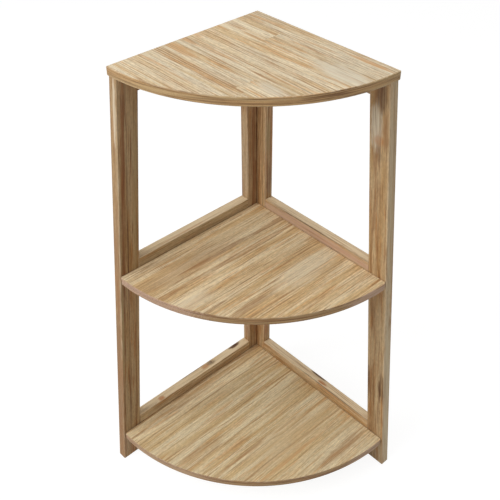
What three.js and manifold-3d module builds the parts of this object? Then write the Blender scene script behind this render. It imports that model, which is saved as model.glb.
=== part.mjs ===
// A three-tier corner stand in pale paulownia. Two open side frames meet at
// right angles in the room's corner. Their front stiles lean outwards, so each
// quarter-round shelf is wider than the one above it. Millimetres, +Z up.
//
// The stand is drawn from the corner where the two walls meet: the right frame
// runs along +X, the left frame along -Y, and the curved fronts face between them.
import * as THREE from 'three';
import { mergeVertices } from 'three/addons/utils/BufferGeometryUtils.js';
import Module from 'manifold-3d';

const wasm = await Module();
wasm.setup();

// Boards
const standHeight = 700;
const boardThickness = 12;
const topRadius = 255;
const topCornerRadius = 1.5;
const shelfCornerRadius = 4;
const middleShelfReach = 1.2;
const bottomShelfReach = -1;
const boardEase = 1;

// Side frames
const frameThickness = 15;
const frameEase = 0.8;
const frontStileWidth = 33;
const backStileWidth = 34;
const footDepth = 329;
const wallOverhang = 2;
const frontOverhang = 1.5;
const topRailDepth = 26;
const middleRailTop = 404;
const bottomRailTop = 80;
const middleRailLip = 15.5;
const bottomRailLip = 18;

// Dowels and screws
const dowelRadius = 3;
const dowelLength = 24;
const dowelSpacing = 14;
const dowelChamfer = 0.8;
const screwRadius = 2;
const screwHeadRadius = 4;
const screwHeadHeight = 2.2;
const screwPointLength = 4;
const shelfScrewLength = 35;
const topScrewLength = 25;
const topScrewRecess = 10;
const cornerScrewLength = 30;
const railScrewInset = 36;
const footScrewHeight = 24;

// Clearance between any two pieces that fit together
const fitGap = 0.3;

// Facets
const boardArcSteps = 40;
const cornerArcSteps = 4;
const turnedSides = 10;

// What follows from those sizes
const frameHeight = standHeight - boardThickness;
const frameFrontTop = topRadius - frontOverhang;
const splay = (footDepth - frameFrontTop) / frameHeight;
const frontStileSpan = frontStileWidth * Math.hypot(1, splay);
const backStileFront = wallOverhang + backStileWidth;
const frameInner = wallOverhang + frameThickness;
const frameMiddle = wallOverhang + frameThickness / 2;

const paulownia = { color: 0xcdb28c, roughness: 0.72, metalness: 0 };
const beech = { color: 0xc79f70, roughness: 0.8, metalness: 0 };
const zincedSteel = { color: 0xb9b7ae, roughness: 0.38, metalness: 0.9 };

// How far the frame reaches from the corner at a height: its front edge leans.
function frameFront(height) {
  return footDepth - splay * height;
}

function stileBack(height) {
  return frameFront(height) - frontStileSpan;
}

// A closed geometry: only positions, shared corners merged, no empty triangles.
function closedGeometry(geometry) {
  const bare = geometry.clone();
  bare.deleteAttribute('normal');
  bare.deleteAttribute('uv');
  const merged = mergeVertices(bare, 1e-4);
  const corners = merged.index.array;
  const kept = [];
  for (let i = 0; i < corners.length; i += 3) {
    const [a, b, c] = corners.slice(i, i + 3);
    if (a !== b && b !== c && c !== a) kept.push(a, b, c);
  }
  merged.setIndex(kept);
  return merged;
}

function toSolid(geometry) {
  const closed = closedGeometry(geometry);
  return new wasm.Manifold(new wasm.Mesh({
    numProp: 3,
    vertProperties: new Float32Array(closed.attributes.position.array),
    triVerts: new Uint32Array(closed.index.array),
  }));
}

function toGeometry(solid) {
  const mesh = solid.getMesh();
  const geometry = new THREE.BufferGeometry();
  geometry.setAttribute('position', new THREE.BufferAttribute(mesh.vertProperties, 3));
  geometry.setIndex(new THREE.BufferAttribute(mesh.triVerts, 1));
  geometry.computeVertexNormals();
  return geometry;
}

function piece(name, geometry, finish) {
  const mesh = new THREE.Mesh(geometry, new THREE.MeshStandardMaterial(finish));
  mesh.name = name;
  return mesh;
}

// A flat board: its outline is extruded through its thickness, arrises eased.
function board(outline, thickness, ease) {
  const shape = new THREE.Shape(outline.map(([x, y]) => new THREE.Vector2(x, y)));
  const geometry = new THREE.ExtrudeGeometry(shape, {
    depth: thickness - 2 * ease,
    bevelEnabled: true,
    bevelThickness: ease,
    bevelSize: ease,
    bevelOffset: -ease,
    bevelSegments: 1,
  });
  geometry.translate(0, 0, ease);
  return closedGeometry(geometry);
}

function arcPoints(centre, radius, from, to, steps) {
  const points = [];
  for (let i = 0; i <= steps; i += 1) {
    const angle = from + (to - from) * i / steps;
    points.push([centre[0] + radius * Math.cos(angle), centre[1] + radius * Math.sin(angle)]);
  }
  return points;
}

// A quarter disc with its square corner at the origin, reaching to +X and -Y.
// A small radius turns each straight edge into the long curved front.
function quarterOutline(radius, cornerRadius) {
  const inset = Math.sqrt((radius - cornerRadius) ** 2 - cornerRadius ** 2);
  const turn = Math.atan2(cornerRadius, inset);
  const right = Math.PI / 2;
  const leftCorner = arcPoints([cornerRadius, -inset], cornerRadius, -Math.PI, turn - right, cornerArcSteps);
  const front = arcPoints([0, 0], radius, turn - right, -turn, boardArcSteps);
  const rightCorner = arcPoints([inset, -cornerRadius], cornerRadius, -turn, right, cornerArcSteps);
  return [[0, 0], ...leftCorner, ...front.slice(1, -1), ...rightCorner];
}

// A turned piece, its axis on +Z, from a profile of [radius, height] pairs.
function turned(profile) {
  const points = profile.map(([radius, height]) => new THREE.Vector2(radius, height));
  const geometry = new THREE.LatheGeometry(points, turnedSides);
  geometry.rotateX(Math.PI / 2);
  return closedGeometry(geometry);
}

function dowelShape(radius, length, chamfer) {
  const half = length / 2;
  return turned([
    [0, -half],
    [radius - chamfer, -half],
    [radius, chamfer - half],
    [radius, half - chamfer],
    [radius - chamfer, half],
    [0, half],
  ]);
}

// A countersunk screw: its head is flush at height 0 and it is driven along +Z.
function screwShape(length) {
  return turned([
    [0, 0],
    [screwHeadRadius, 0],
    [screwRadius, screwHeadHeight],
    [screwRadius, length - screwPointLength],
    [0, length],
  ]);
}

// The hole for that screw, opened out to its mouth by the depth of a recess.
function screwHoleShape(length, recess) {
  const mouth = screwHeadRadius + fitGap;
  const bore = screwRadius + fitGap;
  return turned([
    [0, -recess - 1],
    [mouth, -recess - 1],
    [mouth, 0],
    [bore, screwHeadHeight],
    [bore, length + fitGap],
    [0, length + fitGap],
  ]);
}

// Puts a mesh at a point with its own +Z along a direction, both in the stand.
function aim(mesh, point, direction) {
  mesh.position.copy(point);
  mesh.quaternion.setFromUnitVectors(new THREE.Vector3(0, 0, 1), direction);
  return mesh;
}

// Cuts a tool out of a board, each taken where it stands in the whole.
function drill(target, tool) {
  target.updateWorldMatrix(true, false);
  tool.updateWorldMatrix(true, false);
  const intoTarget = target.matrixWorld.clone().invert().multiply(tool.matrixWorld);
  const cutter = toSolid(tool.geometry.clone().applyMatrix4(intoTarget));
  target.geometry = toGeometry(toSolid(target.geometry).subtract(cutter));
}

// The two frames differ in the way they stand: each is drawn with its length
// along +X and its height along +Y, and turned to its wall. A frame's point is
// given by its distance along the wall, its distance off the wall and its height.
const frames = {
  left: {
    stileStart: wallOverhang,
    along: new THREE.Vector3(0, -1, 0),
    offWall: new THREE.Vector3(1, 0, 0),
    origin: new THREE.Vector3(frameInner, 0, 0),
    turn: -Math.PI / 2,
  },
  right: {
    stileStart: frameInner + fitGap,
    along: new THREE.Vector3(1, 0, 0),
    offWall: new THREE.Vector3(0, -1, 0),
    origin: new THREE.Vector3(0, -wallOverhang, 0),
    turn: 0,
  },
};

function framePoint(side, along, offWall, height) {
  const point = new THREE.Vector3(0, 0, height);
  point.addScaledVector(frames[side].along, along);
  point.addScaledVector(frames[side].offWall, offWall);
  return point;
}

const rails = {
  top: { top: frameHeight, depth: topRailDepth },
  middle: { top: middleRailTop, depth: middleRailLip + boardThickness },
  bottom: { top: bottomRailTop, depth: bottomRailLip + boardThickness },
};

// The shelves inside the frames: each surface is below its rails' top edge, and
// its front passes the stiles' front edge by its reach or stops short of it.
const shelves = {
  middle: { surface: middleRailTop - middleRailLip, reach: middleShelfReach },
  bottom: { surface: bottomRailTop - bottomRailLip, reach: bottomShelfReach },
};

function backStileOutline(side) {
  const start = frames[side].stileStart;
  return [[start, 0], [backStileFront, 0], [backStileFront, frameHeight], [start, frameHeight]];
}

function frontStileOutline() {
  return [
    [stileBack(0), 0],
    [frameFront(0), 0],
    [frameFront(frameHeight), frameHeight],
    [stileBack(frameHeight), frameHeight],
  ];
}

// A rail is square at the back and cut to the lean of the front stile.
function railOutline(rail) {
  const low = rail.top - rail.depth;
  const start = backStileFront + fitGap;
  return [
    [start, low],
    [stileBack(low) - fitGap, low],
    [stileBack(rail.top) - fitGap, rail.top],
    [start, rail.top],
  ];
}

const stand = new THREE.Group();
stand.position.set(-footDepth / 2, footDepth / 2, 0);

function addFrame(side) {
  const { origin, turn } = frames[side];
  const frame = new THREE.Group();
  frame.position.copy(origin);
  frame.rotation.set(Math.PI / 2, 0, turn, 'ZYX');
  const add = (name, outline) => {
    frame.add(piece(`${side}_${name}`, board(outline, frameThickness, frameEase), paulownia));
  };
  add('back_stile', backStileOutline(side));
  add('front_stile', frontStileOutline());
  for (const [level, rail] of Object.entries(rails)) {
    add(`${level}_rail`, railOutline(rail));
  }
  stand.add(frame);
}

// The top board lies on both frames. Each lower shelf stands inside them, with
// its underside level with its rails'.
function addShelves() {
  const topBoard = piece(
    'top_board',
    board(quarterOutline(topRadius, topCornerRadius), boardThickness, boardEase),
    paulownia,
  );
  topBoard.position.z = frameHeight;
  stand.add(topBoard);
  const corner = frameInner + fitGap;
  for (const [level, { surface, reach }] of Object.entries(shelves)) {
    const radius = frameFront(surface) - corner + reach;
    const shelf = piece(
      `${level}_shelf`,
      board(quarterOutline(radius, shelfCornerRadius), boardThickness, boardEase),
      paulownia,
    );
    shelf.position.set(corner, -corner, surface - boardThickness);
    stand.add(shelf);
  }
}

function find(name) {
  return stand.getObjectByName(name);
}

// Adds a dowel or screw and drills its hole in each piece that it passes through.
function fasten(fastener, holeGeometry, point, direction, through) {
  const hole = aim(new THREE.Mesh(holeGeometry), point, direction);
  stand.add(hole);
  for (const name of through) {
    drill(find(name), hole);
  }
  stand.remove(hole);
  stand.add(aim(fastener, point, direction));
}

// Two dowels across each joint of a rail and a stile.
function addDowels(side) {
  const hole = dowelShape(dowelRadius + fitGap, dowelLength + 2 * fitGap, dowelChamfer);
  for (const [level, rail] of Object.entries(rails)) {
    const middle = rail.top - rail.depth / 2;
    const pair = { lower: middle - dowelSpacing / 2, upper: middle + dowelSpacing / 2 };
    for (const [row, height] of Object.entries(pair)) {
      const ends = { back: backStileFront + fitGap / 2, front: stileBack(height) - fitGap / 2 };
      for (const [end, along] of Object.entries(ends)) {
        const dowel = piece(
          `${side}_${level}_${end}_dowel_${row}`,
          dowelShape(dowelRadius, dowelLength, dowelChamfer),
          beech,
        );
        const point = framePoint(side, along, frameMiddle, height);
        fasten(dowel, hole, point, frames[side].along, [`${side}_${level}_rail`, `${side}_${end}_stile`]);
      }
    }
  }
}

// Where a rail takes its two screws, measured along the wall.
function railScrewPlaces(rail) {
  const low = rail.top - rail.depth;
  return { back: backStileFront + railScrewInset, front: stileBack(low) - railScrewInset };
}

// Screws driven from the wall side, through a rail, into its shelf's edge.
function addShelfScrews(side) {
  const hole = screwHoleShape(shelfScrewLength, 0);
  for (const [level, { surface }] of Object.entries(shelves)) {
    const height = surface - boardThickness / 2;
    for (const [place, along] of Object.entries(railScrewPlaces(rails[level]))) {
      const screw = piece(`${side}_${level}_screw_${place}`, screwShape(shelfScrewLength), zincedSteel);
      const point = framePoint(side, along, wallOverhang, height);
      fasten(screw, hole, point, frames[side].offWall, [`${side}_${level}_rail`, `${level}_shelf`]);
    }
  }
}

// Screws sunk into the top rails from below, up into the top board.
function addTopScrews(side) {
  const hole = screwHoleShape(topScrewLength, topScrewRecess);
  const head = frameHeight - topRailDepth + topScrewRecess;
  const up = new THREE.Vector3(0, 0, 1);
  for (const [place, along] of Object.entries(railScrewPlaces(rails.top))) {
    const screw = piece(`${side}_top_screw_${place}`, screwShape(topScrewLength), zincedSteel);
    const point = framePoint(side, along, frameMiddle, head);
    fasten(screw, hole, point, up, [`${side}_top_rail`, 'top_board']);
  }
}

// Screws through the left back stile into the right one's edge, one near the
// floor and one halfway up each window.
function addCornerScrews() {
  const hole = screwHoleShape(cornerScrewLength, 0);
  const windowMiddle = (under, over) => (rails[under].top + rails[over].top - rails[over].depth) / 2;
  const heights = {
    low: footScrewHeight,
    middle: windowMiddle('bottom', 'middle'),
    high: windowMiddle('middle', 'top'),
  };
  for (const [row, height] of Object.entries(heights)) {
    const screw = piece(`corner_screw_${row}`, screwShape(cornerScrewLength), zincedSteel);
    const point = framePoint('left', frameMiddle, wallOverhang, height);
    fasten(screw, hole, point, frames.left.offWall, ['left_back_stile', 'right_back_stile']);
  }
}

addShelves();
for (const side of ['left', 'right']) {
  addFrame(side);
  addDowels(side);
  addShelfScrews(side);
  addTopScrews(side);
}
addCornerScrews();

const model = new THREE.Group();
model.add(stand);

export default model;
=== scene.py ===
import math

import bmesh
import bpy
from mathutils import Matrix, Vector


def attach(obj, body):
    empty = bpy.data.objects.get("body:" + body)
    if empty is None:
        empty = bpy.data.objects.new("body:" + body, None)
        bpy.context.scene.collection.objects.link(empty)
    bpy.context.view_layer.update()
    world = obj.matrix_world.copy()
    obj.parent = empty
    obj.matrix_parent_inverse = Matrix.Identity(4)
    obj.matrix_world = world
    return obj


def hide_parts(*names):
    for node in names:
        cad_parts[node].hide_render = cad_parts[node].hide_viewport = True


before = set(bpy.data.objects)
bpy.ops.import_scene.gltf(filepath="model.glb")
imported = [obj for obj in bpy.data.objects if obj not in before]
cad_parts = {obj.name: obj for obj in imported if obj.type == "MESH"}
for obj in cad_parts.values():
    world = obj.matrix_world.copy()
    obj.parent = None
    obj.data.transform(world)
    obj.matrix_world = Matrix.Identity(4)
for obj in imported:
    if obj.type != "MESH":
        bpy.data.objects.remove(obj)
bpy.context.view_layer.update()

# ---------------------------------------------------------------------------
# Real sizes, in millimetres. Points are given from the corner where the two
# walls meet: the right frame runs along +X, the left frame along -Y.
# SHELF_REACH is how far a shelf's curve passes the stiles' front edges.
# RAIL_LIP is how far a rail stands above its shelf. RAILS gives each rail's
# top edge above the floor and its depth.

STAND_HEIGHT = 700
BOARD_THICKNESS = 12
TOP_RADIUS = 255
TOP_CORNER_RADIUS = 1.5
SHELF_CORNER_RADIUS = 4
SHELF_REACH = {"middle": 1.2, "bottom": -1}
BOARD_EASE = 0.9

FRAME_THICKNESS = 15
FRAME_EASE = 0.8
FRONT_STILE_WIDTH = 33
BACK_STILE_FRONT = 36
FOOT_DEPTH = 329
WALL_OVERHANG = 2
FRONT_OVERHANG = 1.5
RAIL_LIP = {"middle": 15.5, "bottom": 18}
RAILS = {"top": (688, 26), "middle": (404, 27.5), "bottom": (80, 30)}

DOWEL_RADIUS = 3
DOWEL_LENGTH = 24
DOWEL_SPACING = 14
DOWEL_CHAMFER = 0.8
SCREW_RADIUS = 2
SCREW_HEAD_RADIUS = 4
SCREW_HEAD_HEIGHT = 2.2
SCREW_POINT = 4
SHELF_SCREW = 35
TOP_SCREW = 25
TOP_SCREW_RECESS = 10
CORNER_SCREW = 30
CORNER_SCREW_HEIGHTS = {"low": 24, "middle": 228.25, "high": 533}
RAIL_SCREW_INSET = 36
FIT_GAP = 0.3

FRAME_HEIGHT = STAND_HEIGHT - BOARD_THICKNESS
SPLAY = (FOOT_DEPTH - (TOP_RADIUS - FRONT_OVERHANG)) / FRAME_HEIGHT
FRONT_STILE_SPAN = FRONT_STILE_WIDTH * math.hypot(1, SPLAY)
FRAME_INNER = WALL_OVERHANG + FRAME_THICKNESS
FRAME_MIDDLE = WALL_OVERHANG + FRAME_THICKNESS / 2
SHELF_CORNER = FRAME_INNER + FIT_GAP

UP = Vector((0, 0, 1))
SIDES = {
    "left": {"along": Vector((0, -1, 0)), "off_wall": Vector((1, 0, 0)), "start": WALL_OVERHANG},
    "right": {"along": Vector((1, 0, 0)), "off_wall": Vector((0, -1, 0)), "start": SHELF_CORNER},
}


def metres(point):
    """A point from the walls' corner, in mm, in the shared frame in metres."""
    x, y, z = point
    return Vector((x - FOOT_DEPTH / 2, y + FOOT_DEPTH / 2, z)) / 1000


def frame_point(side, along, off_wall, height):
    """The point so far along a frame from the corner, off its wall and above the floor."""
    place = SIDES[side]
    return place["along"] * along + place["off_wall"] * off_wall + UP * height


def frame_front(height):
    """How far a frame reaches from the corner: its front edge leans inwards as it rises."""
    return FOOT_DEPTH - SPLAY * height


def stile_back(height):
    """How far from the corner a front stile's rear edge is."""
    return frame_front(height) - FRONT_STILE_SPAN


# ---------------------------------------------------------------------------
# Meshes. Each is built in mm in the board's own axes: X with the grain, Y
# across it and Z through the thickness. "arris" is 1 where an edge is eased,
# and there the wood is lightened as a painted highlight. SUPPORT and
# SLAB_SUPPORT are the flat strips kept beside an eased edge, a stick's squared
# end gets the arris value END_ARRIS, and an edge shorter than SLIVER, in
# metres, is closed up after a cut.

SUPPORT = 1.6
SLAB_SUPPORT = 0.5
SHARP_ANGLE = math.radians(35)
MITRE_LIMIT = 0.3
END_ARRIS = 0.7
SLIVER = 1e-6
SCREW_HOLE_SIDES = 32
DOWEL_HOLE_SIDES = 24
SCREW_SIDES = 24


def new_mesh(name, points, faces, arris=None, edge_faces=()):
    mesh = bpy.data.meshes.new(name)
    mesh.from_pydata([Vector(p) / 1000 for p in points], [], faces)
    values = mesh.attributes.new("arris", "FLOAT", "POINT")
    if arris:
        values.data.foreach_set("value", arris)
    for index in edge_faces:
        mesh.polygons[index].material_index = 1
    mesh.shade_smooth()
    mesh.set_sharp_from_angle(angle=SHARP_ANGLE)
    mesh.validate()
    return mesh


def closed_faces(rings, count):
    """The faces between each ring of points and the next, then over both ends."""
    faces = []
    for a in range(0, (rings - 1) * count, count):
        for i in range(count):
            j = (i + 1) % count
            faces.append((a + i, a + j, a + count + j, a + count + i))
    faces.append(tuple(reversed(range(count))))
    faces.append(tuple(range((rings - 1) * count, rings * count)))
    return faces


def turned_faces(rings, sides):
    """The faces of a turned form: an end point, rings of points, an end point."""
    faces = []
    last = 1 + rings * sides
    end = last - sides
    for i in range(sides):
        j = (i + 1) % sides
        faces.append((0, 1 + j, 1 + i))
        for a in range(1, end, sides):
            faces.append((a + i, a + j, a + sides + j, a + sides + i))
        faces.append((end + i, end + j, last))
    return faces


def arc(centre, radius, start, end, steps):
    return [
        (centre[0] + radius * math.cos(start + (end - start) * i / steps),
         centre[1] + radius * math.sin(start + (end - start) * i / steps))
        for i in range(steps + 1)
    ]


def quarter_outline(radius, corner_radius, front_steps=144, corner_steps=8):
    """A quarter disc, anticlockwise, its square corner at the origin."""
    inset = math.sqrt((radius - corner_radius) ** 2 - corner_radius ** 2)
    turn = math.atan2(corner_radius, inset)
    right = math.pi / 2
    left = arc((corner_radius, -inset), corner_radius, -math.pi, turn - right, corner_steps)
    front = arc((0, 0), radius, turn - right, -turn, front_steps)
    back = arc((inset, -corner_radius), corner_radius, -turn, right, corner_steps)
    return (
        [(0, 0), (0, -SUPPORT * 2), (0, SUPPORT - inset)]
        + left + front[1:-1] + back
        + [(inset - SUPPORT, 0), (SUPPORT * 2, 0)]
    )


def inset_outline(points, distance):
    """The outline drawn in by a distance, its corners mitred."""
    result = []
    count = len(points)
    for i, (x, y) in enumerate(points):
        before = Vector(points[i]) - Vector(points[i - 1])
        after = Vector(points[(i + 1) % count]) - Vector(points[i])
        normals = [Vector((d.y, -d.x)).normalized() for d in (before, after)]
        middle = (normals[0] + normals[1]).normalized()
        reach = distance / max(middle.dot(normals[0]), MITRE_LIMIT)
        result.append((x - middle.x * reach, y - middle.y * reach))
    return result


def slab_profile(thickness, ease, steps=4):
    """(inset, height, arris) from the underside, round the edge, to the top."""
    lower = [(ease + SLAB_SUPPORT, 0, 0)]
    for i in range(steps + 1):
        angle = math.pi / 2 * i / steps
        lower.append((ease * (1 - math.sin(angle)), ease * (1 - math.cos(angle)), 1))
    lower.append((0, ease + SLAB_SUPPORT, 0))
    upper = [(inset, thickness - height, arris) for inset, height, arris in reversed(lower)]
    return lower + upper


def slab_mesh(name, outline, thickness, ease):
    """A flat board of any outline with all its arrises rounded."""
    points, arris = [], []
    profile = slab_profile(thickness, ease)
    count = len(outline)
    for inset, height, on_arris in profile:
        points += [(x, y, height - thickness / 2) for x, y in inset_outline(outline, inset)]
        arris += [on_arris] * count
    edge_faces = range(count, (len(profile) - 2) * count)
    return new_mesh(name, points, closed_faces(len(profile), count), arris, edge_faces)


def section(width, thickness, ease, steps=4):
    """A rounded oblong round the grain: (y, z, arris) points, anticlockwise."""
    result = []
    half_y, half_z = width / 2, thickness / 2
    for sy, sz, start in ((1, 1, 0), (-1, 1, 90), (-1, -1, 180), (1, -1, 270)):
        centre = (sy * (half_y - ease), sz * (half_z - ease))
        turn = [
            (*p, 1) for p in arc(centre, ease, math.radians(start), math.radians(start + 90), steps)
        ]
        first, last = math.radians(start), math.radians(start + 90)
        lead = (turn[0][0] + SUPPORT * math.sin(first), turn[0][1] - SUPPORT * math.cos(first), 0)
        trail = (turn[-1][0] - SUPPORT * math.sin(last), turn[-1][1] + SUPPORT * math.cos(last), 0)
        result += [lead] + turn + [trail]
    return result


def stick_mesh(name, low_edge, high_edge, thickness, ease, end_ease=0.3):
    """A straight stick. low_edge and high_edge are its two long edges as
    (y, first x, last x), so either end may be cut square or at a slant."""
    (low_y, *low_x), (high_y, *high_x) = low_edge, high_edge
    middle, width = (low_y + high_y) / 2, high_y - low_y

    def end_x(end, y):
        return low_x[end] + (high_x[end] - low_x[end]) * (y - low_y) / width

    body = section(width, thickness, ease)
    drawn_in = section(width - 2 * end_ease, thickness - 2 * end_ease, ease)
    points, arris = [], []
    rings = [(0, 0, drawn_in), (0, end_ease, body), (0, SUPPORT, body),
             (1, -SUPPORT, body), (1, -end_ease, body), (1, 0, drawn_in)]
    for end, shift, ring in rings:
        at_end = abs(shift) < SUPPORT
        for y, z, on_arris in ring:
            y += middle
            points.append((end_x(end, y) + shift, y, z))
            arris.append(END_ARRIS if at_end and not on_arris else on_arris)
    return new_mesh(name, points, closed_faces(len(rings), len(body)), arris)


def turned_points(profile, sides):
    """A turned form on +Z from (radius, height) pairs that start and end on the axis."""
    points = [(0, 0, profile[0][1])]
    angles = [2 * math.pi * i / sides for i in range(sides)]
    for radius, height in profile[1:-1]:
        points += [(radius * math.cos(a), radius * math.sin(a), height) for a in angles]
    points.append((0, 0, profile[-1][1]))
    return points, turned_faces(len(profile) - 2, sides)


def aimed(point, direction):
    """The matrix that puts +Z on a direction at a point, both from the walls' corner."""
    turn = UP.rotation_difference(direction).to_matrix().to_4x4()
    return Matrix.Translation(point) @ turn


def cut(target, cutters):
    """Cuts (points, faces, matrix) forms, all in mm, out of a mesh in its own axes."""
    points, faces = [], []
    for form_points, form_faces, matrix in cutters:
        start = len(points)
        points += [matrix @ Vector(p) for p in form_points]
        faces += [tuple(start + i for i in face) for face in form_faces]
    tool = bpy.data.objects.new("cutter", new_mesh("cutter", points, faces))
    work = bpy.data.objects.new("work", target)
    for obj in (tool, work):
        bpy.context.scene.collection.objects.link(obj)
    modifier = work.modifiers.new("holes", "BOOLEAN")
    modifier.operation, modifier.solver, modifier.object = "DIFFERENCE", "EXACT", tool
    graph = bpy.context.evaluated_depsgraph_get()
    result = bpy.data.meshes.new_from_object(work.evaluated_get(graph))
    form = bmesh.new()
    form.from_mesh(result)
    bmesh.ops.dissolve_degenerate(form, dist=SLIVER, edges=form.edges)
    form.to_mesh(result)
    form.free()
    result.name = target.name
    result.set_sharp_from_angle(angle=SHARP_ANGLE)
    for obj in (tool, work):
        bpy.data.objects.remove(obj)
    return result


# ---------------------------------------------------------------------------
# Materials


def linear(red, green, blue):
    """An sRGB colour of 0 to 255 as a linear RGBA colour."""
    def one(value):
        value /= 255
        return value / 12.92 if value <= 0.04045 else ((value + 0.055) / 1.055) ** 2.4
    return (one(red), one(green), one(blue), 1)


class Graph:
    """Short names for making and joining shader nodes."""

    def __init__(self, tree):
        self.tree = tree

    def node(self, kind, inputs=None, **settings):
        node = self.tree.nodes.new("ShaderNode" + kind)
        for key, value in settings.items():
            setattr(node, key, value)
        for key, value in (inputs or {}).items():
            self.put(value, node.inputs[key])
        return node

    def put(self, value, socket):
        if isinstance(value, bpy.types.NodeSocket):
            self.tree.links.new(value, socket)
        else:
            socket.default_value = value

    def math(self, operation, *values, clamp=False):
        inputs = dict(enumerate(values))
        return self.node("Math", inputs, operation=operation, use_clamp=clamp).outputs[0]

    def vector(self, operation, *values):
        inputs = dict(enumerate(values))
        node = self.node("VectorMath", inputs, operation=operation)
        return node.outputs["Value" if operation == "LENGTH" else "Vector"]

    def times(self, vector, factor):
        node = self.node("VectorMath", {0: vector, "Scale": factor}, operation="SCALE")
        return node.outputs["Vector"]

    def scaled(self, point, x, y, z):
        return self.vector("MULTIPLY", point, (x, y, z))

    def noise(self, point, detail=2.0, roughness=0.5):
        inputs = {"Vector": point, "Scale": 1.0, "Detail": detail, "Roughness": roughness}
        return self.node("TexNoise", inputs).outputs["Fac"]

    def random(self, point):
        node = self.node("TexWhiteNoise", {"Vector": point}, noise_dimensions="3D")
        return node.outputs["Value"], node.outputs["Color"]

    def ramp(self, value, low, high, to_low=0.0, to_high=1.0, smooth=True):
        inputs = {"Value": value, "From Min": low, "From Max": high,
                  "To Min": to_low, "To Max": to_high}
        kind = "SMOOTHSTEP" if smooth else "LINEAR"
        return self.node("MapRange", inputs, interpolation_type=kind).outputs["Result"]

    def blend(self, factor, first, second, mode="MIX"):
        node = self.node("Mix", data_type="RGBA", blend_type=mode)
        for socket, value in ((0, factor), (6, first), (7, second)):
            self.put(value, node.inputs[socket])
        return node.outputs[2]

    def combine(self, x, y, z):
        return self.node("CombineXYZ", {0: x, 1: y, 2: z}).outputs[0]

    def separate(self, vector):
        return self.node("SeparateXYZ", {0: vector}).outputs


CREAM = linear(234, 219, 190)
STRAW = linear(213, 187, 146)
BROWN = linear(160, 117, 74)
TAN = linear(208, 158, 103)
GREY = linear(224, 213, 189)
ROSE = linear(206, 172, 150)
MILK = linear(242, 219, 181)
OLIVE = linear(168, 144, 100)
DRAB = linear(209, 190, 155)
RUST = linear(138, 84, 48)
ORANGE = linear(186, 118, 62)
UMBER = linear(98, 66, 40)
KNOT = linear(74, 45, 27)
PORE = linear(122, 88, 56)
EDGE_LIGHT = linear(198, 160, 116)
EDGE_PALE = linear(206, 178, 137)
EDGE_DARK = linear(128, 94, 62)
PLAIN = (1, 1, 1, 1)


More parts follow.
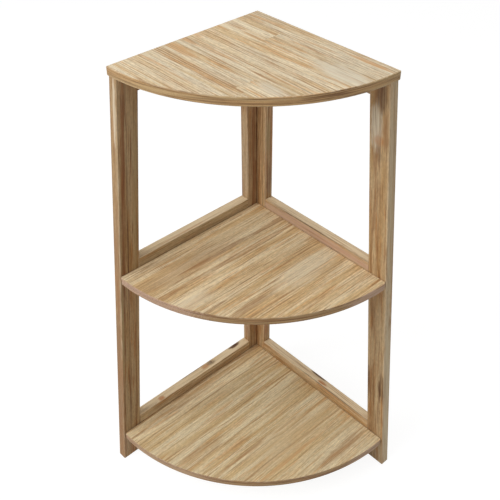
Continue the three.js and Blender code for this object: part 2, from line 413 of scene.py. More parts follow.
def wood_group():
    """Sawn paulownia as a solid: growth rings round a pith line, strips glued
    side by side and finger jointed end to end, streaks, fibres, pores and knots,
    with a painted highlight on eased edges."""
    tree = bpy.data.node_groups.new("paulownia", "ShaderNodeTree")
    interface = tree.interface
    number, colour, vector = "NodeSocketFloat", "NodeSocketColor", "NodeSocketVector"
    inputs = {"Point": (vector, (0, 0, 0)), "Seed": (number, 0), "Strip": (number, 20),
              "Length": (number, 200), "Ring": (number, 4), "Pith": (number, 60),
              "Spread": (number, 46), "Wander": (number, 4), "Lines": (number, 1),
              "Streaks": (number, 1), "Patchy": (number, 1), "Tint": (colour, PLAIN),
              "Layered": (number, 0), "Knot": (number, 0), "Arris": (number, 0)}
    for name, (kind, value) in inputs.items():
        interface.new_socket(name, in_out="INPUT", socket_type=kind).default_value = value
    for name, kind in (("Color", colour), ("Roughness", number), ("Height", number)):
        interface.new_socket(name, in_out="OUTPUT", socket_type=kind)
    g = Graph(tree)
    source = tree.nodes.new("NodeGroupInput").outputs
    seed = source["Seed"]
    point = source["Point"]
    x, y, z = g.separate(point)

    # Which strip a point is in, across the grain and along it.
    row = g.math("ADD", g.math("DIVIDE", y, source["Strip"]), g.math("MULTIPLY", seed, 3.37))
    row_index = g.math("FLOOR", row)
    row_random, _ = g.random(g.combine(row_index, seed, 0.5))
    finger = g.math("PINGPONG", g.math("ADD", z, 40.0), 2.1)
    finger = g.math("MULTIPLY", finger, 4.2)
    run = g.math("DIVIDE", g.math("ADD", x, finger), source["Length"])
    run = g.math("ADD", run, g.math("MULTIPLY", row_random, 7.7))
    run_index = g.math("FLOOR", run)
    _, cell_colour = g.random(g.combine(row_index, run_index, seed))
    cell_a, cell_b, cell_c = g.separate(cell_colour)
    jump = g.vector("ADD", g.times(cell_colour, 19.0), g.times((17.3, 31.1, 23.7), seed))

    def grain_noise(along, across, detail, roughness=0.5):
        scaled = g.scaled(point, 1 / along, 1 / across, 1 / across)
        return g.noise(g.vector("ADD", scaled, jump), detail, roughness)

    # Growth rings: distance from the pith, bent by slow wander and by knots.
    wander = g.math("SUBTRACT", grain_noise(150, 26, 2), 0.5)
    wander = g.math("MULTIPLY", wander, source["Wander"])
    off = g.math("MULTIPLY", g.math("SUBTRACT", cell_a, 0.5), source["Spread"])
    ring_y = g.math("ADD", g.math("ADD", y, off), g.math("MULTIPLY", wander, 2.0))
    ring_y = g.math("ADD", ring_y, g.math("MULTIPLY", x, 0.012))
    ring_z = g.math("ADD", g.math("ADD", z, source["Pith"]), wander)
    distance = g.math("SQRT", g.math("ADD", g.math("MULTIPLY", ring_y, ring_y),
                                     g.math("MULTIPLY", ring_z, ring_z)))
    distance = g.math("ADD", distance, g.math("MULTIPLY", source["Knot"], 9.0))
    phase = g.math("DIVIDE", distance, source["Ring"])
    phase = g.math("ADD", phase, g.math("MULTIPLY", g.noise(g.combine(phase, seed, 1.5), 1), 1.6))
    ring_random, _ = g.random(g.combine(g.math("FLOOR", phase), seed, 4.5))
    place = g.math("FRACT", phase)
    late = g.math("MULTIPLY", g.ramp(place, 0.50, 0.86), g.ramp(place, 1.0, 0.90))
    late = g.math("MULTIPLY", late, g.ramp(ring_random, 0.05, 0.95, 0.15, 1.0))
    late = g.math("MULTIPLY", late, g.ramp(grain_noise(60, 6, 1), 0.3, 0.6, 0.35, 1.0))
    late = g.math("MULTIPLY", late, source["Lines"])

    # Pores, specks, fibres, threads, streaks and bands, most far longer than wide.
    pores = g.ramp(grain_noise(9, 0.5, 2, 0.7), 0.60, 0.72)
    fibre = grain_noise(26, 0.42, 3, 0.65)
    speck = grain_noise(6.5, 2.1, 2, 0.6)
    thread = grain_noise(48, 0.9, 2, 0.6)
    streak = grain_noise(58, 1.6, 2, 0.55)
    ribbon = grain_noise(85, 5.0, 2)
    band = grain_noise(260, 13, 2)
    patch = grain_noise(150, 34, 2)

    shade = g.blend(g.ramp(band, 0.38, 0.62), CREAM, STRAW)
    tan = g.math("MULTIPLY", g.ramp(ribbon, 0.53, 0.66, 0, 0.8), source["Patchy"])
    shade = g.blend(tan, shade, TAN)
    cell_tan = g.math("MULTIPLY", g.ramp(cell_b, 0.78, 1.0, 0, 0.4), source["Patchy"])
    shade = g.blend(cell_tan, shade, TAN)
    grey = g.math("MULTIPLY", g.ramp(patch, 0.50, 0.62, 0, 0.6), source["Patchy"])
    shade = g.blend(grey, shade, GREY)
    shade = g.blend(g.math("MULTIPLY", late, 0.85), shade, BROWN)
    dark = g.math("MULTIPLY", g.ramp(streak, 0.53, 0.70, 0, 0.85), source["Streaks"])
    shade = g.blend(dark, shade, BROWN)
    light = g.math("MULTIPLY", g.ramp(streak, 0.44, 0.28, 0, 0.42), source["Streaks"])
    shade = g.blend(light, shade, CREAM)
    shade = g.times(shade, g.ramp(thread, 0.28, 0.72, 1.14, 0.84, smooth=False))
    shade = g.times(shade, g.ramp(speck, 0.28, 0.72, 1.14, 0.85, smooth=False))
    shade = g.times(shade, g.ramp(fibre, 0.30, 0.72, 1.07, 0.91, smooth=False))
    shade = g.times(shade, g.ramp(cell_c, 0, 1, 0.95, 1.05, smooth=False))
    shade = g.blend(g.math("MULTIPLY", pores, 0.4), shade, PORE)

    # The cut edge of a shelf: darker, with fine layers that follow its faces.
    layer_point = g.scaled(point, 1 / 70, 1 / 70, 1 / 1.3)
    layers = g.noise(g.vector("ADD", layer_point, jump), 3, 0.6)
    coarse = g.noise(g.vector("ADD", g.scaled(point, 1 / 120, 1 / 120, 1 / 4.0), jump), 1)
    edge = g.blend(g.ramp(layers, 0.38, 0.62), EDGE_LIGHT, EDGE_DARK)
    edge = g.blend(g.ramp(coarse, 0.44, 0.62, 0, 0.65), edge, EDGE_PALE)
    end_pores = g.noise(g.scaled(point, 1 / 1.1, 1 / 1.1, 1 / 0.5), 2)
    edge = g.blend(g.ramp(end_pores, 0.52, 0.72, 0, 0.5), edge, PORE)
    shade = g.blend(source["Layered"], shade, edge)

    shade = g.blend(1.0, shade, source["Tint"], "MULTIPLY")
    shade = g.blend(g.ramp(source["Knot"], 0.25, 0.85), shade, KNOT)
    # Painted highlight: eased edges and the squared ends of sticks are lightened towards cream.
    arris_highlight = g.math("MULTIPLY", source["Arris"], g.ramp(grain_noise(45, 5, 2), 0.35, 0.7, 0.0, 0.3))
    shade = g.blend(arris_highlight, shade, CREAM)

    rough = g.math("ADD", g.ramp(fibre, 0.3, 0.7, 0.50, 0.62), g.math("MULTIPLY", pores, 0.18))
    rough = g.math("SUBTRACT", rough, g.math("MULTIPLY", source["Arris"], 0.06))
    height = g.math("SUBTRACT", g.math("MULTIPLY", fibre, 0.35), g.math("MULTIPLY", pores, 0.9))
    height = g.math("SUBTRACT", height, g.math("MULTIPLY", late, 0.5))
    height = g.math("SUBTRACT", height, g.math("MULTIPLY", source["Knot"], 0.8))
    target = tree.nodes.new("NodeGroupOutput").inputs
    for name, value in (("Color", shade), ("Roughness", rough), ("Height", height)):
        g.put(value, target[name])
    return tree


WOOD = wood_group()


def spot(g, point, centre, size, strength):
    """A soft ellipsoid in a board, its outline broken up, in the board's axes in mm."""
    away = g.vector("MULTIPLY", g.vector("SUBTRACT", point, centre), tuple(1 / s for s in size))
    broken = g.noise(g.scaled(point, 0.06, 0.45, 0.45), 2)
    reach = g.math("ADD", g.vector("LENGTH", away), g.math("MULTIPLY", broken, 0.9))
    return g.ramp(reach, 1.45, 0.85, 0, strength)


def wood(name, marks=(), **look):
    """A board's own material. Each mark is (colour, centre, size, strength), its
    centre and half sizes in mm; one whose colour is KNOT bends the rings round it."""
    material = bpy.data.materials.new(name)
    material.use_nodes = True
    tree = material.node_tree
    g = Graph(tree)
    shader = tree.nodes["Principled BSDF"]
    local = g.node("TexCoord").outputs["Object"]
    point = g.vector("MULTIPLY", local, (1000, 1000, 1000))
    board = tree.nodes.new("ShaderNodeGroup")
    board.node_tree = WOOD
    g.put(point, board.inputs["Point"])
    arris = g.node("Attribute", attribute_name="arris").outputs["Fac"]
    g.put(arris, board.inputs["Arris"])
    for key, value in look.items():
        board.inputs[key].default_value = value
    knots = None
    shade = board.outputs["Color"]
    lines = g.ramp(g.noise(g.scaled(point, 1 / 90, 1 / 1.7, 1 / 1.7), 2), 0.34, 0.58, 0.35, 1.0)
    for colour, centre, size, strength in marks:
        place = spot(g, point, centre, size, strength)
        if colour == KNOT:
            knots = place if knots is None else g.math("MAXIMUM", knots, place)
        else:
            shade = g.blend(g.math("MULTIPLY", place, lines), shade, colour)
    if knots is not None:
        g.put(knots, board.inputs["Knot"])
        shade = g.blend(g.ramp(knots, 0.3, 0.9), shade, KNOT)
    g.put(shade, shader.inputs["Base Color"])
    g.put(board.outputs["Roughness"], shader.inputs["Roughness"])
    bump = g.node("Bump", {"Strength": 0.5, "Distance": 0.0003, "Height": board.outputs["Height"]})
    g.put(bump.outputs["Normal"], shader.inputs["Normal"])
    shader.inputs["Specular IOR Level"].default_value = 0.35
    return material


def beech_material():
    """Turned beech: pinkish brown with short dark flecks."""
    material = bpy.data.materials.new("beech_dowel")
    material.use_nodes = True
    g = Graph(material.node_tree)
    shader = material.node_tree.nodes["Principled BSDF"]
    point = g.vector("MULTIPLY", g.node("TexCoord").outputs["Object"], (1000, 1000, 1000))
    tone = g.noise(g.scaled(point, 0.12, 0.12, 0.35), 3)
    flecks = g.noise(g.scaled(point, 0.5, 0.5, 1.6), 2)
    colour = g.blend(g.ramp(tone, 0.35, 0.68), linear(214, 176, 132), linear(186, 142, 98))
    colour = g.blend(g.ramp(flecks, 0.60, 0.72, 0, 0.55), colour, linear(128, 88, 56))
    g.put(colour, shader.inputs["Base Color"])
    g.put(g.ramp(tone, 0.3, 0.7, 0.62, 0.78), shader.inputs["Roughness"])
    bump = g.node("Bump", {"Strength": 0.4, "Distance": 0.0002, "Height": flecks})
    g.put(bump.outputs["Normal"], shader.inputs["Normal"])
    return material


def steel_material():
    """Bright zinc over steel: faint yellow and blue bloom, fine scratches."""
    material = bpy.data.materials.new("zinced_steel")
    material.use_nodes = True
    g = Graph(material.node_tree)
    shader = material.node_tree.nodes["Principled BSDF"]
    point = g.vector("MULTIPLY", g.node("TexCoord").outputs["Object"], (1000, 1000, 1000))
    bloom = g.noise(g.scaled(point, 0.22, 0.22, 0.22), 3)
    scratch = g.noise(g.scaled(point, 6.0, 0.7, 2.0), 3, 0.7)
    colour = g.blend(g.ramp(bloom, 0.3, 0.7), linear(206, 208, 210), linear(214, 205, 180))
    colour = g.blend(g.ramp(scratch, 0.62, 0.78, 0, 0.5), colour, linear(142, 140, 136))
    g.put(colour, shader.inputs["Base Color"])
    g.put(g.ramp(scratch, 0.3, 0.75, 0.26, 0.46), shader.inputs["Roughness"])
    bump = g.node("Bump", {"Strength": 0.35, "Distance": 0.00005, "Height": scratch})
    g.put(bump.outputs["Normal"], shader.inputs["Normal"])
    shader.inputs["Metallic"].default_value = 1.0
    return material


# ---------------------------------------------------------------------------
# Fasteners: where each is, and what it is driven through.


def screw_hole(length, recess):
    mouth, bore = SCREW_HEAD_RADIUS + FIT_GAP, SCREW_RADIUS + FIT_GAP
    return turned_points([
        (0, -recess - 1), (mouth, -recess - 1), (mouth, 0), (bore, SCREW_HEAD_HEIGHT),
        (bore, length + FIT_GAP), (0, length + FIT_GAP)], SCREW_HOLE_SIDES)


def dowel_hole():
    radius, half = DOWEL_RADIUS + FIT_GAP, DOWEL_LENGTH / 2 + FIT_GAP
    return turned_points([
        (0, -half), (radius - DOWEL_CHAMFER, -half), (radius, DOWEL_CHAMFER - half),
        (radius, half - DOWEL_CHAMFER), (radius - DOWEL_CHAMFER, half), (0, half)],
        DOWEL_HOLE_SIDES)


def screw_mesh(length):
    """A countersunk wood screw driven along +Z: domed cross head, coarse thread."""
    head = [(3.2, 0), (3.8, 0.06), (4.0, 0.28), (2.0, SCREW_HEAD_HEIGHT),
            (1.95, SCREW_HEAD_HEIGHT + 2.5)]
    rings = [[(radius, height)] * SCREW_SIDES for radius, height in head]
    pitch, core, thread = 1.8, 1.35, 0.62
    start, end = SCREW_HEAD_HEIGHT + 3.0, length - 0.8
    steps = int((end - start) / (pitch / 5))
    for k in range(steps + 1):
        height = start + (end - start) * k / steps
        taper = min(1.0, max(0.12, (length - height) / SCREW_POINT))
        ring = []
        for i in range(SCREW_SIDES):
            turn = (height / pitch - i / SCREW_SIDES) % 1
            crest = max(0.0, 1 - abs(turn - 0.5) * 4)
            ring.append(((core + thread * crest) * taper, height))
        rings.append(ring)
    points = [(0, 0, 0)]
    for ring in rings:
        for i, (radius, height) in enumerate(ring):
            angle = 2 * math.pi * i / SCREW_SIDES
            points.append((radius * math.cos(angle), radius * math.sin(angle), height))
    points.append((0, 0, length))
    mesh = new_mesh(f"screw_{length}", points, turned_faces(len(rings), SCREW_SIDES))
    wide, thin, deep = 2.1, 0.42, 1.5
    slot = [(sx * wide * s, sy * thin * s, z) for z, s in ((-0.5, 1.1), (deep, 0.5))
            for sx, sy in ((-1, -1), (1, -1), (1, 1), (-1, 1))]
    slot_faces = [(3, 2, 1, 0), (4, 5, 6, 7),
                  (0, 1, 5, 4), (1, 2, 6, 5), (2, 3, 7, 6), (3, 0, 4, 7)]
    for turn in (0, math.pi / 2):
        mesh = cut(mesh, [(slot, slot_faces, Matrix.Rotation(turn, 4, "Z"))])
    return mesh


def shelf_surface(level):
    """The height of a lower shelf's upper face."""
    return RAILS[level][0] - RAIL_LIP[level]


def fasteners():
    """name, kind, length, recess, point, direction and the pieces drilled."""
    listed = []
    for side, place in SIDES.items():
        for level, (top, depth) in RAILS.items():
            rail = f"{side}_{level}_rail"
            for row, rise in (("lower", -DOWEL_SPACING / 2), ("upper", DOWEL_SPACING / 2)):
                height = top - depth / 2 + rise
                for end, along in (("back", BACK_STILE_FRONT + FIT_GAP / 2),
                                   ("front", stile_back(height) - FIT_GAP / 2)):
                    listed.append((f"{side}_{level}_{end}_dowel_{row}", "dowel", DOWEL_LENGTH, 0,
                                   frame_point(side, along, FRAME_MIDDLE, height), place["along"],
                                   (rail, f"{side}_{end}_stile")))
            for end, along in (("back", BACK_STILE_FRONT + RAIL_SCREW_INSET),
                               ("front", stile_back(top - depth) - RAIL_SCREW_INSET)):
                name = f"{side}_{level}_screw_{end}"
                if level == "top":
                    point = frame_point(side, along, FRAME_MIDDLE, top - depth + TOP_SCREW_RECESS)
                    listed.append((name, "screw", TOP_SCREW, TOP_SCREW_RECESS, point, UP,
                                   (rail, "top_board")))
                else:
                    height = shelf_surface(level) - BOARD_THICKNESS / 2
                    point = frame_point(side, along, WALL_OVERHANG, height)
                    listed.append((name, "screw", SHELF_SCREW, 0, point, place["off_wall"],
                                   (rail, f"{level}_shelf")))
    for row, height in CORNER_SCREW_HEIGHTS.items():
        point = frame_point("left", FRAME_MIDDLE, WALL_OVERHANG, height)
        listed.append((f"corner_screw_{row}", "screw", CORNER_SCREW, 0, point,
                       SIDES["left"]["off_wall"], ("left_back_stile", "right_back_stile")))
    return listed


FASTENERS = fasteners()

# ---------------------------------------------------------------------------
# Boards


def add_piece(name, mesh, matrix):
    """A piece that stands for the solid of its name. matrix is in mm."""
    obj = bpy.data.objects.new(name + "_shown", mesh)
    bpy.context.scene.collection.objects.link(obj)
    turn = matrix.to_3x3().to_4x4()
    obj.matrix_world = Matrix.Translation(metres(matrix.to_translation())) @ turn
    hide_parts(name)
    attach(obj, "root")
    return obj


def dress(mesh, *materials):
    for material in materials:
        mesh.materials.append(material)


def axes(origin, grain, thickness):
    """A board's matrix: X with the grain, Z through its thickness."""
    across = thickness.cross(grain)
    matrix = Matrix((grain, across, thickness)).transposed().to_4x4()
    matrix.translation = origin
    return matrix


def drilled(name, mesh, matrix):
    """The mesh with the holes of all that is driven into this piece."""
    cutters = []
    for _, kind, length, recess, point, direction, through in FASTENERS:
        if name in through:
            form = dowel_hole() if kind == "dowel" else screw_hole(length, recess)
            cutters.append((*form, matrix.inverted() @ aimed(point, direction)))
    return cut(mesh, cutters)


def add_stick(name, side, corners, grain, look, marks=()):
    """A stile or rail from its four corners, each (along, height) on its middle plane."""
    place = SIDES[side]
    world = [frame_point(side, along, FRAME_MIDDLE, height) for along, height in corners]
    origin = sum(world, Vector()) / 4
    matrix = axes(origin, grain, place["off_wall"])
    local = [matrix.inverted() @ p for p in world]
    local.sort(key=lambda p: p.y)
    edges = []
    for pair in (local[:2], local[2:]):
        pair.sort(key=lambda p: p.x)
        edges.append((pair[0].y, pair[0].x, pair[1].x))
    mesh = stick_mesh(name, *edges, FRAME_THICKNESS, FRAME_EASE)
    dress(mesh, wood(name, marks, **look))
    return add_piece(name, drilled(name, mesh, matrix), matrix)


def add_frame(side, looks):
    place = SIDES[side]
    start = place["start"]
    add_stick(f"{side}_back_stile", side,
              [(start, 0), (BACK_STILE_FRONT, 0),
               (BACK_STILE_FRONT, FRAME_HEIGHT), (start, FRAME_HEIGHT)],
              UP, *looks["back_stile"])
    lean = (UP - place["along"] * SPLAY).normalized()
    add_stick(f"{side}_front_stile", side,
              [(stile_back(0), 0), (frame_front(0), 0),
               (frame_front(FRAME_HEIGHT), FRAME_HEIGHT), (stile_back(FRAME_HEIGHT), FRAME_HEIGHT)],
              lean, *looks["front_stile"])
    for level, (top, depth) in RAILS.items():
        low, first = top - depth, BACK_STILE_FRONT + FIT_GAP
        add_stick(f"{side}_{level}_rail", side,
                  [(first, low), (stile_back(low) - FIT_GAP, low),
                   (stile_back(top) - FIT_GAP, top), (first, top)],
                  place["along"], *looks[f"{level}_rail"])


def add_shelf(name, radius, corner_radius, corner, underside, grain,
              look, edge_look, marks, edge_marks_and_light=()):
    """A quarter-round board, its grain along a horizontal direction."""
    centre = Vector((corner, -corner, underside + BOARD_THICKNESS / 2))
    matrix = axes(centre, grain, UP)
    outline = quarter_outline(radius, corner_radius)
    turn = matrix.to_3x3().inverted()
    outline = [tuple((turn @ Vector((x, y, 0))).xy) for x, y in outline]
    mesh = slab_mesh(name, outline, BOARD_THICKNESS, BOARD_EASE)
    dress(mesh, wood(name, marks, **look), wood(name + "_edge", edge_marks_and_light, **edge_look))
    return add_piece(name, drilled(name, mesh, matrix), matrix)


def add_lower_shelf(level, *looks):
    """The middle or bottom shelf, which ends level with the front stiles."""
    surface = shelf_surface(level)
    radius = frame_front(surface) - SHELF_CORNER + SHELF_REACH[level]
    add_shelf(f"{level}_shelf", radius, SHELF_CORNER_RADIUS, SHELF_CORNER,
              surface - BOARD_THICKNESS, SIDES["left"]["along"], *looks)


# ---------------------------------------------------------------------------
# The look of each board. FACE is a shelf's upper face, INNER a stick's face
# towards the shelves, FRONT a front stile's front edge and TOP_OF a rail's top.

FACE = BOARD_THICKNESS / 2
INNER = FRAME_THICKNESS / 2
FRONT = FRONT_STILE_WIDTH / 2
TOP_OF = {level: depth / 2 for level, (_, depth) in RAILS.items()}

EDGE = dict(Layered=1.0, Ring=4.0, Strip=400, Length=20000, Tint=(0.79, 0.72, 0.59, 1))
STICK = dict(Strip=200, Length=20000, Ring=4.2, Pith=18, Spread=60, Wander=5, Lines=1.1,
             Streaks=1.0, Patchy=0.9)

add_shelf("top_board", TOP_RADIUS, TOP_CORNER_RADIUS, 0, FRAME_HEIGHT, SIDES["right"]["along"],
          dict(Seed=3.0, Strip=29, Length=900, Ring=4.2, Pith=12, Spread=150, Wander=3,
               Lines=1.0, Streaks=0.9, Patchy=0.8, Tint=(1.04, 1.02, 0.97, 1)),
          dict(EDGE, Seed=5.0, Tint=(1.0, 0.98, 0.87, 1)),
          [(TAN, (25, -160, FACE), (48, 8, 9), 0.8),
           (TAN, (72, -130, FACE), (45, 4, 9), 0.7),
           (TAN, (215, -12, FACE), (45, 5, 9), 0.8),
           (BROWN, (95, -95, FACE), (60, 2, 9), 0.7),
           (GREY, (180, -150, FACE), (30, 12, 9), 0.7),
           (GREY, (215, -60, FACE), (60, 26, 9), 0.9)])
add_lower_shelf("middle",
                dict(Seed=7.0, Strip=52, Length=20000, Ring=4.6, Pith=14, Spread=170, Wander=4,
                     Lines=1.0, Streaks=0.9, Patchy=0.6, Tint=(1.02, 0.96, 0.84, 1)),
                dict(EDGE, Seed=8.0),
                [(BROWN, (190, 48, FACE), (140, 26, 9), 0.4),
                 (BROWN, (175, 172, FACE), (70, 9, 9), 0.6),
                 (CREAM, (235, 112, FACE), (60, 16, 9), 0.6),
                 (CREAM, (60, 170, FACE), (90, 30, 9), 0.35)],
                # Painted light on the cut edge: lightened at the end by the left frame, where the
                # light falls, and also lightened at the end by the right frame.
                [(ROSE, (262, 60, 0), (60, 150, 12), 0.75),
                 (ROSE, (30, 268, 0), (60, 40, 12), 0.7)])
add_lower_shelf("bottom",
                dict(Seed=12.0, Strip=60, Length=20000, Ring=6.2, Pith=16, Spread=150, Wander=8,
                     Lines=0.9, Streaks=0.6, Patchy=0.6, Tint=(1.05, 1.02, 0.90, 1)),
                dict(EDGE, Seed=13.0),
                [(BROWN, (60, 272, FACE), (75, 13, 9), 0.6),
                 (TAN, (140, 225, FACE), (120, 5, 9), 0.7),
                 (BROWN, (240, 118, FACE), (60, 18, 9), 0.45),
                 (BROWN, (180, 168, FACE), (70, 5, 9), 0.6),
                 (BROWN, (150, 14, FACE), (200, 14, 9), 0.35),
                 (STRAW, (110, 195, FACE), (110, 40, 9), 0.4)],
                # Painted light on the cut edge: lightened at the end by the left frame, where the
                # light falls, and also lightened at the end by the right frame.
                [(ROSE, (290, 80, 0), (80, 190, 12), 0.35),
                 (ROSE, (30, 302, 0), (60, 40, 12), 0.4)])

add_frame("left", {
    "back_stile": (dict(STICK, Seed=21.0, Tint=(0.66, 0.54, 0.42, 1)),
                   # Painted shade: the umber line lies in the crease of the back corner. The rust
                   # strip beside it is partly painted shade and partly the wood's tone.
                   [(RUST, (80, 4, INNER), (420, 5, 3), 0.6),
                    (UMBER, (60, -2, INNER), (420, 3, 3), 0.85)]),
    "front_stile": (dict(STICK, Seed=22.0, Tint=(0.60, 0.47, 0.33, 1), Ring=5.4),
                    # Painted highlight: the cream streak on the upper part of the front edge.
                    [(CREAM, (300, FRONT, 2), (72, 2, 4.5), 0.8),
                     (UMBER, (110, 2.5, INNER), (270, 1.5, 3), 0.8),
                     (RUST, (180, 9, INNER), (220, 5, 3), 0.45),
                     (OLIVE, (160, -11, INNER), (270, 6, 3), 0.5),
                     (UMBER, (-190, 2, INNER), (150, 3.5, 3), 0.5),
                     (OLIVE, (-70, 14, INNER), (130, 3, 3), 0.6),
                     (BROWN, (60, FRONT, -1), (170, 2, 9), 0.7),
                     (UMBER, (-180, FRONT, -1), (200, 2, 9), 0.85),
                     (BROWN, (-220, FRONT, 0), (260, 3, 14), 0.9)]),
    "top_rail": (dict(STICK, Seed=23.0, Tint=(0.66, 0.56, 0.46, 1)),),
    "middle_rail": (dict(STICK, Seed=24.0, Tint=(0.78, 0.68, 0.54, 1)),
                    # Painted light and grain: the rail's top face is painted milk, lighter where
                    # the light falls on it from above, and broken by the edge grain.
                    [(MILK, (-20, -TOP_OF["middle"], -1), (240, 2, 16), 0.85),
                     # Painted highlight: the orange line along the inner arris of the rail's top.
                     (ORANGE, (20, -TOP_OF["middle"], 4), (60, 1.8, 2), 0.6),
                     (UMBER, (-6, 0, INNER), (150, 5, 3), 0.25)]),
    "bottom_rail": (dict(STICK, Seed=25.0, Tint=(0.84, 0.74, 0.60, 1)),
                    # Painted light and grain: the rail's top face is painted milk, lighter where
                    # the light falls on it from above, and broken by the edge grain.
                    [(MILK, (0, -TOP_OF["bottom"], 0), (260, 2, 18), 0.95),
                     (UMBER, (0, -TOP_OF["bottom"], -7), (44, 2, 2.2), 0.8),
                     (ORANGE, (-27, -TOP_OF["bottom"], -1), (12, 3, 6), 1.0),
                     (ORANGE, (76, -TOP_OF["bottom"], 3), (8, 3, 6), 1.0),
                     (UMBER, (-40, -TOP_OF["bottom"], -2), (11, 3, 8), 1.0),
                     (UMBER, (-99, -TOP_OF["bottom"], -4), (16, 3, 6), 1.0),
                     (KNOT, (-41, -TOP_OF["bottom"], -3), (4, 2, 4), 0.6),
                     (KNOT, (-100, -TOP_OF["bottom"], -5), (6, 2, 3), 0.6)]),
})
add_frame("right", {
    "back_stile": (dict(STICK, Seed=31.0, Tint=(0.77, 0.61, 0.44, 1)),
                   [(UMBER, (120, -3.6, INNER), (330, 0.8, 3), 0.7),
                    (OLIVE, (170, -9.4, 2), (45, 1.6, 6), 0.7),
                    (UMBER, (92, -9.4, -1), (38, 1.4, 7), 0.5)]),
    "front_stile": (dict(STICK, Seed=32.0, Tint=(0.72, 0.60, 0.46, 1), Ring=5.2),
                    [(GREY, (281, 5, INNER), (44, 13, 6), 0.9),
                     (UMBER, (324, -4, INNER), (30, 11, 6), 0.7),
                     (ORANGE, (262, 0, INNER), (10, 12, 6), 0.6),
                     (BROWN, (274, -11, INNER), (34, 6, 6), 1.0),
                     (UMBER, (242, 0, INNER), (18, 5, 6), 0.6),
                     (UMBER, (-172, 15, INNER), (60, 5, 6), 0.7),
                     (UMBER, (-200, 0, INNER), (210, 16, 3), 0.35),
                     (UMBER, (-171, -12.5, INNER), (42, 9, 8), 1.0),
                     (DRAB, (200, -FRONT, 0), (320, 1.6, 9), 0.7),
                     (DRAB, (-190, -FRONT, 1), (240, 1.6, 12), 1.0)]),
    "top_rail": (dict(STICK, Seed=33.0, Tint=(0.66, 0.56, 0.46, 1)),),
    "middle_rail": (dict(STICK, Seed=34.0, Tint=(0.84, 0.72, 0.58, 1)),
                    [(ROSE, (10, 4, INNER), (220, 11, 3), 0.8),
                     # Painted light and grain: the rail's top face is painted milk, lighter where
                     # the light falls on it from above, and broken by the edge grain.
                     (MILK, (30, TOP_OF["middle"], -3), (240, 2, 15), 1.0),
                     (UMBER, (20, TOP_OF["middle"], 7.2), (150, 1.6, 1.3), 0.9)]),
    "bottom_rail": (dict(STICK, Seed=35.0, Tint=(0.86, 0.74, 0.60, 1)),
                    # Painted light and grain: the rail's top face is painted milk, lighter where
                    # the light falls on it from above, and broken by the edge grain.
                    [(MILK, (0, TOP_OF["bottom"], -1), (260, 2, 17), 0.95),
                     (UMBER, (2, TOP_OF["bottom"], -6), (22, 3, 4), 1.0),
                     (ORANGE, (17, TOP_OF["bottom"], 2), (14, 3, 4), 1.0),
                     (UMBER, (45, TOP_OF["bottom"], 7), (110, 1.6, 1.3), 0.8)]),
})

steel, beech = steel_material(), beech_material()
screw_meshes = {length: screw_mesh(length) for length in (SHELF_SCREW, TOP_SCREW, CORNER_SCREW)}
for mesh in screw_meshes.values():
    dress(mesh, steel)
for name, kind, length, _, point, direction, _ in FASTENERS:
    if kind == "screw":
        add_piece(name, screw_meshes[length].copy(), aimed(point, direction))
    else:
        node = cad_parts[name]
        node.data.materials.clear()
        node.data.materials.append(beech)

# ---------------------------------------------------------------------------
# Floor, light and camera


def seen_ray(g):
    """1 for a ray from the camera, off a gloss or through glass, else 0."""
    path = g.node("LightPath").outputs
    seen = g.math("MAXIMUM", path["Is Camera Ray"], path["Is Glossy Ray"])
    return g.math("MAXIMUM", seen, path["Is Transmission Ray"])


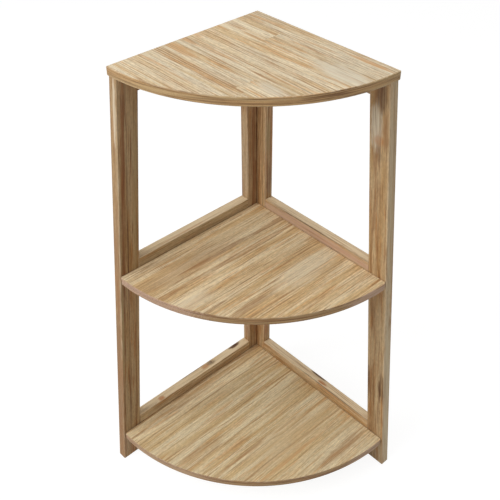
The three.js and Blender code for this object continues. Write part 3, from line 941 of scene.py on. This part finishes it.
def add_floor():
    """A flat floor, a hair below the feet, that is seen as white with a shadow."""
    reach, drop = 20, 0.0005
    mesh = bpy.data.meshes.new("floor")
    corners = [(-reach, -reach, 0), (reach, -reach, 0), (reach, reach, 0), (-reach, reach, 0)]
    mesh.from_pydata(corners, [], [(0, 1, 2, 3)])
    floor = bpy.data.objects.new("floor", mesh)
    bpy.context.scene.collection.objects.link(floor)
    floor.location.z = -drop
    material = bpy.data.materials.new("floor")
    material.use_nodes = True
    tree = material.node_tree
    g = Graph(tree)
    tree.nodes.remove(tree.nodes["Principled BSDF"])
    plain = g.node("BsdfDiffuse", {"Color": (0.8, 0.8, 0.8, 1)})
    shaded = g.node("BsdfDiffuse", {"Color": (0.2, 0.2, 0.2, 1)})
    white = g.node("Emission", {"Color": (1, 1, 1, 1), "Strength": 0.90})
    shown = g.node("AddShader", {0: shaded.outputs[0], 1: white.outputs[0]})
    mixed = g.node("MixShader", {0: seen_ray(g), 1: plain.outputs[0], 2: shown.outputs[0]})
    g.put(mixed.outputs[0], tree.nodes["Material Output"].inputs["Surface"])
    mesh.materials.append(material)


def add_world(strength):
    """Light of this strength from all round, which is seen as plain white."""
    world = bpy.data.worlds.new("studio")
    bpy.context.scene.world = world
    world.use_nodes = True
    tree = world.node_tree
    g = Graph(tree)
    seen = seen_ray(g)
    level = g.math("ADD", g.math("MULTIPLY", seen, 1 - strength), strength)
    background = tree.nodes["Background"]
    background.inputs["Color"].default_value = (1, 1, 1, 1)
    g.put(level, background.inputs["Strength"])


def add_light(name, location, target, size, power):
    data = bpy.data.lights.new(name, "AREA")
    data.shape, data.size, data.energy = "SQUARE", size, power
    light = bpy.data.objects.new(name, data)
    bpy.context.scene.collection.objects.link(light)
    light.location = location
    aim = Vector(target) - Vector(location)
    light.rotation_euler = aim.to_track_quat("-Z", "Y").to_euler()


def add_camera():
    """The photograph's view: its place in mm from the walls' corner."""
    place = (768.65, -725.58, 1127.53)
    yaw, pitch, roll = (math.radians(a) for a in (46.24, 39.065, 0.319))
    flat = math.cos(pitch)
    forward = Vector((-math.sin(yaw) * flat, math.cos(yaw) * flat, -math.sin(pitch)))
    right = Vector((math.cos(yaw), math.sin(yaw), 0))
    up = right.cross(forward)
    turned_right = right * math.cos(roll) + up * math.sin(roll)
    turned_up = up * math.cos(roll) - right * math.sin(roll)
    data = bpy.data.cameras.new("camera")
    data.sensor_width, data.lens = 36, 56.25
    data.shift_x, data.shift_y = -0.0233, -0.0006
    data.clip_start, data.clip_end = 0.05, 100
    camera = bpy.data.objects.new("camera", data)
    bpy.context.scene.collection.objects.link(camera)
    matrix = Matrix((turned_right, turned_up, -forward)).transposed().to_4x4()
    matrix.translation = metres(place)
    camera.matrix_world = matrix
    bpy.context.scene.camera = camera


add_floor()
add_world(0.34)
add_light("overhead", (0.1, -0.2, 2.6), (0, 0, 0.3), 2.0, 12)
add_light("key", (-0.5, -2.1, 2.2), (0, 0, 0.35), 1.8, 43)
add_camera()
bpy.context.scene.view_settings.view_transform = "Standard"
